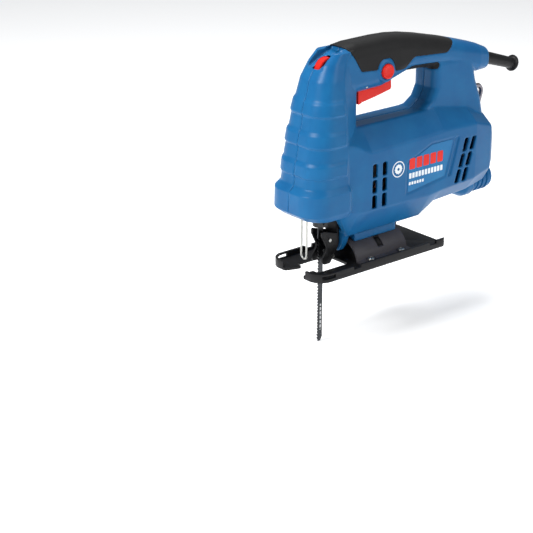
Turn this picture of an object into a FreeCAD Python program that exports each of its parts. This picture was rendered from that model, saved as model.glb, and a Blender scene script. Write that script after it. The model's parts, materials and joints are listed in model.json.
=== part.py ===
"""Corded jigsaw: a two-shell plastic body with a closed handle, a motor that drives an upright plunger
through a gear, a saw blade guided by a roller, and a steel sole that tilts about the line of cut.

Millimetres. +Z is up. The tool cuts towards -X. The origin is on the underside of the sole, at its middle.
"""
import FreeCAD
import Part
import math
import os
from FreeCAD import Vector

# ---------------------------------------------------------------- driving dimensions
# sole
SOLE_LENGTH = 160.0
SOLE_WIDTH = 70.0
SOLE_SHEET = 2.5
SOLE_RIM_HEIGHT = 8.0
WINDOW_HALF = 15.0          # half width of the window round the blade
WINDOW_FRONT_X = -64.0
WINDOW_REAR_X = -27.0
THROAT_HALF = 8.0           # half width of the slot between window and front edge
MOUTH_HALF = 12.5           # half width of that slot at the front edge
# bevel saddle
SADDLE_RADIUS = 22.0
SADDLE_SHEET = 2.5
SADDLE_LENGTH = 62.0
SADDLE_MID_X = 10.0
BEVEL_LIMIT_DEG = 45.0
CLAMP_SCREW_R = 3.0
# blade line
PLUNGER_X = -49.0
PLUNGER_R = 4.5
STROKE = 20.0
BLADE_WIDTH = 6.0
TOOTH_DEPTH = 1.6
TOOTH_PITCH = 3.0
BLADE_SHEET = 1.2
BLADE_TIP_Z = -74.0
CLAMP_BODY_R = 7.0
CLAMP_BODY_BOTTOM_Z = 40.0
CLAMP_BODY_HEIGHT = 14.0
ROLLER_R = 5.5
ROLLER_Z = 11.0
ROLLER_WIDTH = 7.0
# motor
MOTOR_Z = 85.0
STATOR_R = 25.5
STATOR_LENGTH = 42.0
STATOR_FRONT_X = 8.0
ARMATURE_R = 15.0
AIR_GAP = 0.6
SHAFT_R = 4.0
BEARING_R = 11.0
BEARING_WIDTH = 7.0
FRONT_BEARING_X = -22.0
REAR_BEARING_X = 92.0
FAN_R = 23.0
FAN_WIDTH = 9.0
COMMUTATOR_R = 9.5
COMMUTATOR_LENGTH = 18.0
# gear pair
GEAR_MODULE = 1.0
PINION_TEETH = 10
WHEEL_TEETH = 40
GEAR_WIDTH = 8.0
GEAR_FRONT_X = -38.0
# body
WALL = 3.0
GRIP_SKIN = 1.6
BODY_HALF = 31.0            # half widths of the motor body, nose and handle
NOSE_HALF = 30.0
HANDLE_HALF = 17.0
BAND_PROUD = 1.5
CAP_PROUD = 3.0             # how far the nose's lower skirt stands out
# controls
BUTTON_R = 6.7
BUTTON_X = 13.0
BUTTON_Z = 177.0
BUTTON_TRAVEL = 3.0
TRIGGER_HALF = 8.0
TRIGGER_SWING_DEG = 6.0
DIAL_R = 12.0
DIAL_WIDTH = 8.0
DIAL_X = -44.0
DIAL_Z = 184.0
# rear fittings
PORT_R = 13.5
PORT_BORE_R = 10.5
PORT_Z = 45.0
PORT_FRONT_X = 129.0
PORT_REAR_X = 164.0
BUSH_R = 5.8
BUSH_BORE_R = 3.8
BUSH_LENGTH = 48.0
KEY_ACROSS_FLATS = 4.0
KEY_LONG_LEG = 60.0
KEY_SHORT_LEG = 20.0
# fits
RUN = 0.05                  # radial clearance of a running fit
SIDE = 0.4                  # clearance beside a moving piece
SEAT = 0.3                  # clearance between pieces that tilt or turn past each other

# ---------------------------------------------------------------- places that follow from them
GEAR_DISTANCE = GEAR_MODULE * (PINION_TEETH + WHEEL_TEETH) / 2
WHEEL_Z = MOTOR_Z + GEAR_DISTANCE
WHEEL_R = GEAR_MODULE * WHEEL_TEETH / 2
CRANK_R = STROKE / 2
BLADE_BACK_X = PLUNGER_X + BLADE_WIDTH / 2 + 0.5
BLADE_FRONT_X = BLADE_BACK_X - BLADE_WIDTH
ROLLER_X = BLADE_BACK_X + ROLLER_R + SEAT
SADDLE_FRONT_X = SADDLE_MID_X - SADDLE_LENGTH / 2
SADDLE_REAR_X = SADDLE_MID_X + SADDLE_LENGTH / 2
STATOR_REAR_X = STATOR_FRONT_X + STATOR_LENGTH
CLAMP_BODY_TOP_Z = CLAMP_BODY_BOTTOM_Z + CLAMP_BODY_HEIGHT
LOWER_ARM_Z = CLAMP_BODY_TOP_Z + STROKE + 1.0
ARM_HEIGHT = 11.0
YOKE_Z = WHEEL_Z - CRANK_R
UPPER_ARM_Z = WHEEL_Z + WHEEL_R + 2.0

parts = {}


# ---------------------------------------------------------------- small tools
def place_xy(level):
    return lambda a, b: Vector(a, b, level)


def place_xz(level):
    return lambda a, b: Vector(a, level, b)


def place_yz(level):
    return lambda a, b: Vector(level, a, b)


def outline(corners, place):
    """A closed wire through the corners (a, b, radius), with an arc of that radius at each corner."""
    runs = []
    count = len(corners)
    for i, (a, b, radius) in enumerate(corners):
        here = Vector(a, b, 0)
        before = Vector(corners[i - 1][0], corners[i - 1][1], 0) - here
        after = Vector(corners[(i + 1) % count][0], corners[(i + 1) % count][1], 0) - here
        before.normalize()
        after.normalize()
        half = before.getAngle(after) / 2
        if radius <= 0 or half > math.pi / 2 - 1e-3:
            runs.append((here, None, here))
            continue
        reach = radius / math.tan(half)
        towards = before + after
        towards.normalize()
        middle = here + towards * (radius / math.sin(half) - radius)
        runs.append((here + before * reach, middle, here + after * reach))
    edges = []
    for i, (start, middle, end) in enumerate(runs):
        if middle is not None:
            arc = Part.Arc(place(start.x, start.y), place(middle.x, middle.y), place(end.x, end.y))
            edges.append(arc.toShape())
        following = runs[(i + 1) % count][0]
        if end.distanceToPoint(following) > 1e-6:
            edges.append(Part.makeLine(place(end.x, end.y), place(following.x, following.y)))
    return Part.Wire(edges)


def slab_xz(corners, y_low, y_high):
    """The outline in the side plane, extruded across the tool."""
    face = Part.Face(outline(corners, place_xz(y_low)))
    return face.extrude(Vector(0, y_high - y_low, 0))


def slab_xy(corners, z_low, z_high):
    face = Part.Face(outline(corners, place_xy(z_low)))
    return face.extrude(Vector(0, 0, z_high - z_low))


def slab_yz(corners, x_low, x_high):
    face = Part.Face(outline(corners, place_yz(x_low)))
    return face.extrude(Vector(x_high - x_low, 0, 0))


def box(x0, x1, y0, y1, z0, z1):
    return Part.makeBox(x1 - x0, y1 - y0, z1 - z0, Vector(x0, y0, z0))


def rod(radius, start, end):
    axis = Vector(*end) - Vector(*start)
    return Part.makeCylinder(radius, axis.Length, Vector(*start), axis)


def tube(outer, inner, start, end):
    return rod(outer, start, end).cut(rod(inner, start, end))


def rectangle(half_a, b_low, b_high, radius):
    """Corners of a rounded rectangle that is symmetric in a."""
    return [(-half_a, b_low, radius), (half_a, b_low, radius), (half_a, b_high, radius), (-half_a, b_high, radius)]


def fuse(shapes):
    first, rest = shapes[0], shapes[1:]
    return first.multiFuse(rest).removeSplitter() if rest else first


def compound(shapes):
    return Part.makeCompound(shapes)


def coil(radius, wire_r, length, turns, start, axis):
    """A compression spring whose turns run from start along axis."""
    spine = Part.makeHelix(length / turns, length, radius)
    ring = Part.Wire(Part.makeCircle(wire_r, Vector(radius, 0, 0), Vector(0, 1, 0)))
    spring = Part.Wire(spine.Edges).makePipeShell([ring], True, True)
    turn = FreeCAD.Rotation(Vector(0, 0, 1), Vector(*axis))
    spring.Placement = FreeCAD.Placement(Vector(*start), turn)
    return spring


def hexagon(across, place_centre, direction, length):
    corner_r = across / 2 / math.cos(math.pi / 6)
    corners = [(corner_r * math.cos(math.radians(60 * k)), corner_r * math.sin(math.radians(60 * k)), 0)
               for k in range(6)]
    prism = slab_xy(corners, 0, length)
    turn = FreeCAD.Rotation(Vector(0, 0, 1), Vector(*direction))
    prism.Placement = FreeCAD.Placement(Vector(*place_centre), turn)
    return prism


# ---------------------------------------------------------------- the body's outer form
# Plan sections of the nose, bottom to top: height, front x, half width, front corner, x where it is widest
NOSE_REAR_X = -19.0
NOSE_REAR_HALF = 13.0
NOSE = [
    (55.0, -79.0, NOSE_HALF, 18.0, -42.0),
    (61.0, -81.0 - CAP_PROUD * 2, NOSE_HALF + CAP_PROUD, 21.0, -42.0),
    (80.0, -80.5 - CAP_PROUD * 2, NOSE_HALF + CAP_PROUD, 21.0, -42.0),
    (85.0, -81.0, NOSE_HALF, 19.0, -42.0),
    (112.0, -77.5, NOSE_HALF - 1.0, 18.0, -42.0),
    (150.0, -71.0, NOSE_HALF - 4.5, 17.0, -42.0),
    (178.0, -64.0, NOSE_HALF - 9.0, 14.0, -41.0),
    (192.0, -56.0, NOSE_HALF - 12.5, 11.0, -37.0),
    (201.0, -46.0, NOSE_HALF - 14.0, 8.0, -30.0),
]
# Cross sections of the motor body, front to rear: x, bottom z, bottom half, crease z, half, shoulder z, top z, top half
BODY = [
    (-46.0, 55.0, 20.0, 63.0, BODY_HALF - 3.0, 121.0, 137.0, 14.0),
    (-30.0, 29.0, 16.0, 55.0, BODY_HALF - 1.5, 117.0, 131.0, 15.0),
    (-15.0, 29.0, 16.0, 54.5, BODY_HALF - 0.5, 109.5, 131.0, 15.0),
    (60.0, 29.0, 16.0, 54.0, BODY_HALF, 112.0, 131.0, 15.0),
    (76.0, 41.0, 19.0, 56.0, BODY_HALF, 113.0, 133.0, 15.0),
    (120.0, 43.0, 18.0, 58.0, BODY_HALF - 1.0, 112.0, 126.0, 14.0),
    (146.0, 47.0, 16.0, 62.0, BODY_HALF - 6.0, 104.0, 114.0, 12.0),
    (153.0, 55.0, 13.0, 67.0, BODY_HALF - 11.0, 93.0, 100.0, 10.0),
]
# Plan sections of the rear post, bottom to top: height, front x, rear x, half width, corner
POST = [
    (100.0, 60.0, 149.0, HANDLE_HALF, 9.0),
    (131.0, 61.0, 142.0, HANDLE_HALF - 1.5, 8.0),
    (138.0, 71.5, 139.0, HANDLE_HALF - 1.5, 8.0),
    (149.0, 77.0, 134.5, HANDLE_HALF - 1.5, 8.0),
    (170.0, 77.0, 129.0, HANDLE_HALF - 1.5, 8.0),
    (178.0, 78.0, 127.0, HANDLE_HALF - 2.5, 7.0),
]
# Cross sections of the handle, front to rear: x, bottom z, top z, half width, corner
HANDLE = [
    (-48.0, 168.0, 199.0, HANDLE_HALF - 4.0, 9.0),
    (-36.0, 161.0, 203.5, HANDLE_HALF, 12.0),
    (-20.0, 160.0, 206.0, HANDLE_HALF, 13.0),
    (13.0, 161.0, 206.5, HANDLE_HALF, 13.0),
    (30.0, 166.0, 206.0, HANDLE_HALF, 13.0),
    (45.0, 170.0, 204.5, HANDLE_HALF - 0.5, 13.0),
    (64.0, 169.5, 201.0, HANDLE_HALF - 0.5, 13.0),
    (96.0, 166.0, 193.5, HANDLE_HALF - 1.0, 12.0),
    (120.0, 159.0, 187.0, HANDLE_HALF - 1.5, 11.0),
    (137.0, 154.5, 182.0, HANDLE_HALF - 2.0, 10.0),
    (150.0, 155.0, 176.5, HANDLE_HALF - 4.0, 8.0),
    (153.5, 158.0, 172.0, HANDLE_HALF - 7.0, 6.0),
]


def between(table, level):
    """The row of a section table at a level, in proportion between the two rows around it."""
    for low, high in zip(table, table[1:]):
        if low[0] <= level <= high[0]:
            share = (level - low[0]) / (high[0] - low[0])
            return [a + (b - a) * share for a, b in zip(low, high)]
    return list(table[0] if level < table[0][0] else table[-1])


def nose_wire(z, grow):
    level, front, half, corner, widest_x = between(NOSE, z)
    half, front = half + grow, front - grow
    rear, rear_half = NOSE_REAR_X + grow, NOSE_REAR_HALF + grow
    corner = max(corner + grow, 2.0)
    return outline([
        (front, -half, corner), (widest_x, -half, 4.0), (rear, -rear_half, 2.0),
        (rear, rear_half, 2.0), (widest_x, half, 4.0), (front, half, corner)], place_xy(z))


def body_wire(x, grow):
    level, z0, low_half, crease, half, shoulder, z1, top_half = between(BODY, x)
    low_half, half, top_half = low_half + grow * 0.7, half + grow, top_half + grow * 0.7
    z0, z1 = z0 - grow, z1 + grow
    return outline([
        (-low_half, z0, 4.0), (low_half, z0, 4.0), (half, crease, 4.0), (half, shoulder, 4.0),
        (top_half, z1, 4.0), (-top_half, z1, 4.0), (-half, shoulder, 4.0), (-half, crease, 4.0)], place_yz(x))


def post_wire(z, grow):
    level, front, rear, half, corner = between(POST, z)
    half, corner = half + grow, max(corner + grow, 2.0)
    return outline([(front - grow, -half, corner), (rear + grow, -half, corner),
                    (rear + grow, half, corner), (front - grow, half, corner)], place_xy(z))


def handle_wire(x, grow):
    level, z0, z1, half, corner = between(HANDLE, x)
    corner = max(corner + grow, 2.0)
    return outline(rectangle(half + grow, z0 - grow, z1 + grow, corner), place_yz(x))


def lofted(table, wire, grow):
    """A solid through the sections of a table, grown or shrunk by the same amount all round."""
    levels = [row[0] for row in table]
    levels[0] -= grow
    levels[-1] += grow
    inside = [levels[0]] + [z for z in levels[1:-1] if levels[0] + 0.5 < z < levels[-1] - 0.5] + [levels[-1]]
    return Part.makeLoft([wire(z, grow) for z in inside], True, True)


def outer_form(grow):
    return fuse([lofted(BODY, body_wire, grow), lofted(NOSE, nose_wire, grow),
                 lofted(POST, post_wire, grow), lofted(HANDLE, handle_wire, grow)])


form = outer_form(0.0)
under_grip = outer_form(-GRIP_SKIN)
cavity = outer_form(-WALL)

# raised bands round the front of the nose
BAND_HEIGHT = 13.5
BAND_BOTTOMS = [95.0, 122.0, 149.0]
BAND_REAR_X = -44.0
bands = []
for bottom in BAND_BOTTOMS:
    top = bottom + BAND_HEIGHT
    ring = Part.makeLoft([nose_wire(bottom, BAND_PROUD), nose_wire(top - 3.0, BAND_PROUD), nose_wire(top, 0.0)],
                         True, True)
    bands.append(ring.common(box(-120, BAND_REAR_X, -60, 60, 0, 220)))

# the chin behind the roller, between blade window and saddle
CHIN_REAR_X = SADDLE_FRONT_X - 3.0
chin = Part.makeLoft([outline([(-31.5, -h, 1.5), (CHIN_REAR_X, -h, 1.5), (CHIN_REAR_X, h, 1.5), (-31.5, h, 1.5)],
                              place_xy(z)) for z, h in ((13.0, 5.5), (20.0, 10.0), (33.0, 14.5))], True, True)
# the cradle that sits on the saddle
CRADLE_HALF = 11.0
cradle = box(SADDLE_FRONT_X + 5, SADDLE_REAR_X - 5, -CRADLE_HALF, CRADLE_HALF, SADDLE_RADIUS * 0.8, 31.0)
cradle = cradle.cut(rod(SADDLE_RADIUS + SEAT / 2, (-100, 0, 0), (100, 0, 0)))
# the swelling that holds the dust port
PORT_SEAT_R = PORT_R - 1.2
PORT_SEAT_X = PORT_FRONT_X + 8.0
swell_cone = Part.makeCone(5.0, PORT_R + 1.6, 22.0, Vector(PORT_FRONT_X - 22, 0, PORT_Z), Vector(1, 0, 0))
port_swell = fuse([swell_cone, rod(PORT_R + 1.6, (PORT_FRONT_X, 0, PORT_Z), (PORT_SEAT_X, 0, PORT_Z))])
# collar round the lock button
button_collar = rod(BUTTON_R + 3.3, (BUTTON_X, -HANDLE_HALF - 1.0, BUTTON_Z), (BUTTON_X, -HANDLE_HALF + WALL, BUTTON_Z))

outside = fuse([form] + bands + [chin, cradle, port_swell, button_collar])
shell = outside.cut(cavity)

# floor of the dial's hollow, and the hollow itself
HOLLOW_HALF = 9.5
HOLLOW = [(-70.0, 186.5, 0), (-57.0, 187.5, 3.0), (-46.0, 193.0, 8.0), (-36.0, 197.5, 6.0), (-30.0, 199.0, 2.0),
          (-27.0, 212.0, 0), (-70.0, 212.0, 0)]
FLOOR = [(x, z - 2.5, r) for x, z, r in HOLLOW[:4]] + [(-27.5, 197.0, 2.0), (-24.5, 212.0, 0), (-70.0, 212.0, 0)]
floor = slab_xz(FLOOR, -HOLLOW_HALF - 2.5, HOLLOW_HALF + 2.5).common(form)
dial_cheeks = [box(DIAL_X - 6, DIAL_X + 6, y, y + 2.8, DIAL_Z - 6, DIAL_Z + 12).common(form)
               for y in (-DIAL_WIDTH / 2 - SIDE - 3.0, DIAL_WIDTH / 2 + SIDE + 0.2)]
shell = shell.multiFuse([floor] + dial_cheeks).cut(slab_xz(HOLLOW, -HOLLOW_HALF, HOLLOW_HALF))

# bulkheads that carry the stator and the rear bearing
STATOR_RIBS = [(STATOR_FRONT_X + 9, STATOR_FRONT_X + 12), (STATOR_REAR_X - 8, STATOR_REAR_X - 5)]
DUCT_Z = (46.3, 58.0)
DUCT_HALF = 9.0
DUCT_WALL = 1.2
REAR_SEAT = (REAR_BEARING_X - 1, REAR_BEARING_X + BEARING_WIDTH + 1)
AXIS_FRONT = (-200, 0, MOTOR_Z)
AXIS_REAR = (300, 0, MOTOR_Z)
duct_room = box(-60, 126, -DUCT_HALF, DUCT_HALF, DUCT_Z[0], DUCT_Z[1])
ribs = []
for x0, x1 in STATOR_RIBS:
    rib = cavity.common(box(x0, x1, -60, 60, 0, 112)).cut(rod(STATOR_R, AXIS_FRONT, AXIS_REAR)).cut(duct_room)
    ribs.append(rib)
seat = cavity.common(box(REAR_SEAT[0], REAR_SEAT[1], -15, 15, 0, MOTOR_Z + 15)).cut(duct_room)
ribs.append(seat.cut(rod(BEARING_R, (REAR_BEARING_X, 0, MOTOR_Z), (REAR_BEARING_X + BEARING_WIDTH, 0, MOTOR_Z)))
            .cut(rod(BEARING_R - 2, AXIS_FRONT, AXIS_REAR)))

ribs.append(cavity.common(box(122, 130, -20, 20, 152, 161)))

# screws that close the shells: x, z, and the y at which the head seats
SCREWS = [(-25.0, 182.0, 9.0), (-25.0, 152.0, 9.0), (-74.0, 70.0, 12.0), (55.0, 121.0, 12.0),
          (100.0, 121.0, 9.0), (133.0, 72.0, 14.0), (104.0, 171.0, 9.0)]
SCREW_R = 1.8
SCREW_HEAD_R = 3.4
SCREW_TIP_Y = -9.0
BOSS_R = 5.2
bosses = [rod(BOSS_R, (x, SCREW_TIP_Y - 3, z), (x, 40, z)).common(form) for x, z, y in SCREWS]
shell = shell.multiFuse(ribs + bosses)

cuts = [rod(SCREW_R, (x, SCREW_TIP_Y, z), (x, y + 1, z)) for x, z, y in SCREWS]
cuts += [rod(SCREW_HEAD_R + 0.3, (x, y, z), (x, 50, z)) for x, z, y in SCREWS]
# plunger and roller fork come out through the nose's floor
FORK_HALF = 8.0
FORK_SHEET = 2.2
FORK_WEB_X = (-35.2, -33.0)
cuts.append(box(-63, FORK_WEB_X[1] + SEAT, -FORK_HALF - 3.5, FORK_HALF + 3.5, 24, 62))
# side vents: two columns of three at the fan, two at the rear, leaning with the panel's edge


def vent(x, z, width, height, lean):
    """A slot across both shells; lean is how far its top stands behind its foot."""
    return slab_xz([(x, z, 0), (x + width, z, 0), (x + width + lean, z + height, 0), (x + lean, z + height, 0)],
                   -60, 60)


VENT_HEIGHT = 12.5
VENT_STEP = 14.7
for column_x in (-13.0, -1.0):
    for row in range(3):
        cuts.append(vent(column_x, 56.0 + row * VENT_STEP, 5.5, VENT_HEIGHT, 0.0))
for column_x in (92.0, 102.0):
    for row in range(3):
        cuts.append(vent(column_x + row * 4.6, 58.0 + row * VENT_STEP, 5.5, VENT_HEIGHT, 4.0))
# louvres through the rear face
for row in range(4):
    cuts.append(box(140, 160, -14, 1.5, 68.0 + row * 7.5, 71.5 + row * 7.5))
# front panel recess on both sides, with its leaning end
PANEL = [(28.0, 60.0, 2), (80.0, 67.0, 2), (92.0, 105.0, 2), (60.0, 105.0, 4), (28.0, 92.0, 4)]
PANEL_DEPTH = 0.8
GROOVE = [(82.5, 67.0, 1), (87.0, 67.5, 1), (97.5, 104.0, 1), (91.5, 104.0, 1)]
GROOVE_DEPTH = 1.8
for side in (-1, 1):
    for shape, depth in ((PANEL, PANEL_DEPTH), (GROOVE, GROOVE_DEPTH)):
        y0, y1 = sorted((side * (BODY_HALF - depth), side * (BODY_HALF + 5)))
        cuts.append(slab_xz(shape, y0, y1))
# trigger, button, dial, nozzle, cord bush, key, guard wire and clamp screw
TRIGGER_FRONT_X = -13.0
TRIGGER_REAR_X = 28.0
cuts.append(box(TRIGGER_FRONT_X - 1, TRIGGER_REAR_X + 2, -TRIGGER_HALF - SIDE, TRIGGER_HALF + SIDE, 140, 176))
cuts.append(rod(BUTTON_R + RUN + 0.1, (BUTTON_X, -40, BUTTON_Z), (BUTTON_X, -8, BUTTON_Z)))
cuts.append(rod(BUTTON_R + 1.4 + SIDE, (BUTTON_X, -HANDLE_HALF + WALL, BUTTON_Z), (BUTTON_X, -8, BUTTON_Z)))
TRIGGER_PIVOT = (-8.0, 166.0)
PIVOT_R = 1.5
cuts.append(rod(PIVOT_R, (TRIGGER_PIVOT[0], -HANDLE_HALF + WALL, TRIGGER_PIVOT[1]),
                (TRIGGER_PIVOT[0], HANDLE_HALF - WALL, TRIGGER_PIVOT[1])))
cuts.append(box(DIAL_X - DIAL_R - 1, DIAL_X + DIAL_R + 1, -DIAL_WIDTH / 2 - SIDE, DIAL_WIDTH / 2 + SIDE,
                DIAL_Z - DIAL_R, DIAL_Z + DIAL_R))
cuts.append(rod(PORT_SEAT_R, (PORT_FRONT_X, 0, PORT_Z), (PORT_REAR_X, 0, PORT_Z)))
cuts.append(rod(PORT_R + 0.5, (PORT_SEAT_X, 0, PORT_Z), (PORT_REAR_X + 5, 0, PORT_Z)))
cuts.append(Part.makeCone(3.0, PORT_BORE_R, 17.0, Vector(PORT_FRONT_X - 17, 0, PORT_Z), Vector(1, 0, 0)))
BUSH_DROP_DEG = 17.0
bush_direction = (math.cos(math.radians(BUSH_DROP_DEG)), 0, -math.sin(math.radians(BUSH_DROP_DEG)))


def along_bush(distance):
    """A point on the cord bush's axis, measured from the face of the handle's rear end."""
    return (153.0 + bush_direction[0] * distance, 0, 165.0 + bush_direction[2] * distance)


cuts.append(rod(BUSH_R, along_bush(-14), along_bush(8)))
KEY_TOP = (166.0, 8.0, 134.0)
KEY_LEAN_DEG = 17.0
key_down = (-math.sin(math.radians(KEY_LEAN_DEG)), 0, -math.cos(math.radians(KEY_LEAN_DEG)))
key_foot = (KEY_TOP[0] + key_down[0] * KEY_LONG_LEG, KEY_TOP[1], KEY_TOP[2] + key_down[2] * KEY_LONG_LEG)
KEY_CORNER_R = KEY_ACROSS_FLATS / 2 / math.cos(math.pi / 6)
cuts.append(rod(KEY_CORNER_R + SEAT, (key_foot[0] + key_down[0] * 2, KEY_TOP[1], key_foot[2] + key_down[2] * 2), KEY_TOP))
cuts.append(rod(CLAMP_SCREW_R + 0.1, (SADDLE_MID_X, 0, 0), (SADDLE_MID_X, 0, 40)))
cuts.append(rod(2.0, (DIAL_X, -8, DIAL_Z), (DIAL_X, 8, DIAL_Z)))
GUARD_X = -68.0
GUARD_HALF = 3.5
GUARD_WIRE_R = 1.0
GUARD_TOP_Z = 60.0
cuts += [rod(GUARD_WIRE_R, (GUARD_X, y, 40), (GUARD_X, y, GUARD_TOP_Z)) for y in (-GUARD_HALF, GUARD_HALF)]

# grip skin on top of the handle and pad on its underside
GRIP = [(-46.0, 214.0, 0), (-31.0, 203.0, 6), (-17.0, 181.0, 4), (2.0, 179.5, 2), (5.5, 188.5, 8), (20.5, 188.5, 8),
        (24.0, 175.5, 3), (37.0, 174.5, 5), (48.0, 184.5, 6), (90.0, 181.5, 8), (104.0, 191.0, 8), (108.0, 214.0, 0)]
PAD = [(36.0, 160.0, 0), (37.0, 168.0, 2), (48.0, 175.5, 4), (84.0, 174.0, 3), (81.0, 167.5, 1), (75.0, 166.5, 1),
       (74.0, 160.0, 0)]
skin = form.cut(under_grip)
grip = skin.common(slab_xz(GRIP, -40, 40))
pad = skin.common(slab_xz(PAD, -40, 40))
shell = shell.cut(cuts + [grip, pad])


def largest(shape):
    return max(shape.Solids, key=lambda s: s.Volume)


parts["housing_left"] = largest(shell.common(box(-120, 200, -60, 0, 0, 230)))
parts["housing_right"] = largest(shell.common(box(-120, 200, 0, 60, 0, 230)))
parts["handle_grip"] = largest(grip.cut(rod(BUTTON_R + 3.4, (BUTTON_X, -40, BUTTON_Z), (BUTTON_X, 0, BUTTON_Z))))
parts["handle_pad"] = largest(pad)
# ---------------------------------------------------------------- fixed fittings of the body
def screws():
    made = []
    for x, z, y in SCREWS:
        made.append(fuse([rod(SCREW_R, (x, SCREW_TIP_Y, z), (x, y, z)), rod(SCREW_HEAD_R, (x, y, z), (x, y + 2.6, z))])
                    .cut(hexagon(3.0, (x, y + 1.0, z), (0, 1, 0), 3.0)))
    return compound(made)


parts["housing_screws"] = screws()

# the gear case is a bulkhead that fills the body's section, with two arms that hold the plunger's bushes
BULKHEAD_X = (-27.0, -22.0)
BULKHEAD_Z = (62.0, 145.0)
ARM_FRONT_X = -57.0
BUSH_WALL = 2.5
AXLE_R = 3.0


def gear_case():
    plate = cavity.common(box(BULKHEAD_X[0], BULKHEAD_X[1], -60, 60, BULKHEAD_Z[0], BULKHEAD_Z[1]))
    lower = box(ARM_FRONT_X, BULKHEAD_X[0], -11, 11, LOWER_ARM_Z, LOWER_ARM_Z + ARM_HEIGHT)
    upper = box(ARM_FRONT_X, BULKHEAD_X[0], -9, 9, UPPER_ARM_Z, UPPER_ARM_Z + ARM_HEIGHT)
    bearing_seat = rod(BEARING_R + 2.5, (BULKHEAD_X[1], 0, MOTOR_Z), (FRONT_BEARING_X + BEARING_WIDTH, 0, MOTOR_Z))
    wheel_boss = rod(6.0, (GEAR_FRONT_X + GEAR_WIDTH + SEAT, 0, WHEEL_Z), (BULKHEAD_X[0], 0, WHEEL_Z))
    solid = fuse([plate, lower, upper, bearing_seat, wheel_boss])
    pinion_room = rod(GEAR_MODULE * (PINION_TEETH / 2 + 1) + 1, (-70, 0, MOTOR_Z), (BULKHEAD_X[1], 0, MOTOR_Z))
    bearing = rod(BEARING_R, (BULKHEAD_X[1], 0, MOTOR_Z), (0, 0, MOTOR_Z))
    axle = rod(AXLE_R, (-40, 0, WHEEL_Z), (0, 0, WHEEL_Z))
    plunger_room = rod(PLUNGER_R + RUN + BUSH_WALL, (PLUNGER_X, 0, 40), (PLUNGER_X, 0, 180))
    yoke_room = box(-70, -39, -20, 20, LOWER_ARM_Z + ARM_HEIGHT, UPPER_ARM_Z)
    return solid.cut([pinion_room, bearing, axle, plunger_room, yoke_room])


def plunger_bush(z):
    return tube(PLUNGER_R + RUN + BUSH_WALL, PLUNGER_R + RUN, (PLUNGER_X, 0, z), (PLUNGER_X, 0, z + ARM_HEIGHT))


parts["gear_case"] = gear_case()
parts["plunger_bush_lower"] = plunger_bush(LOWER_ARM_Z)
parts["plunger_bush_upper"] = plunger_bush(UPPER_ARM_Z)
parts["gear_axle"] = rod(AXLE_R, (GEAR_FRONT_X - 1.0, 0, WHEEL_Z), (BULKHEAD_X[1], 0, WHEEL_Z))


def bearing(x):
    ring = tube(BEARING_R, SHAFT_R + RUN, (x, 0, MOTOR_Z), (x + BEARING_WIDTH, 0, MOTOR_Z))
    grooves = [tube(BEARING_R - 2.0, SHAFT_R + 2.0, (x0, 0, MOTOR_Z), (x0 + 0.8, 0, MOTOR_Z))
               for x0 in (x, x + BEARING_WIDTH - 0.8)]
    return ring.cut(grooves)


parts["front_bearing"] = bearing(FRONT_BEARING_X)
parts["rear_bearing"] = bearing(REAR_BEARING_X)

# two field coils lie in windows of the stator and stand out at both ends of it
COIL_PROUD = 6.0
coils = tube(STATOR_R - 4.0, ARMATURE_R + AIR_GAP + 1.6, (STATOR_FRONT_X - COIL_PROUD, 0, MOTOR_Z),
             (STATOR_REAR_X + COIL_PROUD, 0, MOTOR_Z)).cut(box(-20, 90, -40, 40, MOTOR_Z - 6, MOTOR_Z + 6))
core = tube(STATOR_R, ARMATURE_R + AIR_GAP, (STATOR_FRONT_X, 0, MOTOR_Z), (STATOR_REAR_X, 0, MOTOR_Z))
parts["field_coils"] = coils
parts["stator_core"] = core.cut(coils)

# brushes bear on the commutator from both sides
COMMUTATOR_X = STATOR_REAR_X + 10.0
BRUSH_X = COMMUTATOR_X + COMMUTATOR_LENGTH / 2
BRUSH_LENGTH = 9.0


def brush_gear():
    holders, brushes, springs = [], [], []
    for side in (-1, 1):
        near = side * (COMMUTATOR_R + 0.4)
        tail = near + side * BRUSH_LENGTH
        wall = side * (BODY_HALF - WALL - 0.6)
        y0, y1 = sorted((near + side * 1.2, wall))
        room = sorted((near, wall - side * 1.5))
        holders.append(box(BRUSH_X - 5, BRUSH_X + 5, y0, y1, MOTOR_Z - 5, MOTOR_Z + 5)
                       .cut(box(BRUSH_X - 3.5, BRUSH_X + 3.5, room[0] - 3, room[1], MOTOR_Z - 3.5, MOTOR_Z + 3.5)
                            if side < 0 else
                            box(BRUSH_X - 3.5, BRUSH_X + 3.5, room[0], room[1], MOTOR_Z - 3.5, MOTOR_Z + 3.5)))
        y0, y1 = sorted((near, tail))
        brushes.append(box(BRUSH_X - 3.4, BRUSH_X + 3.4, y0, y1, MOTOR_Z - 3.4, MOTOR_Z + 3.4))
        length = abs(wall - side * 1.5 - tail)
        springs.append(coil(2.4, 0.4, length - 0.8, 3, (BRUSH_X, tail + side * 0.4, MOTOR_Z), (0, side, 0)))
    return compound(holders), compound(brushes), compound(springs)


parts["brush_holders"], parts["carbon_brushes"], parts["brush_springs"] = brush_gear()

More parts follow.
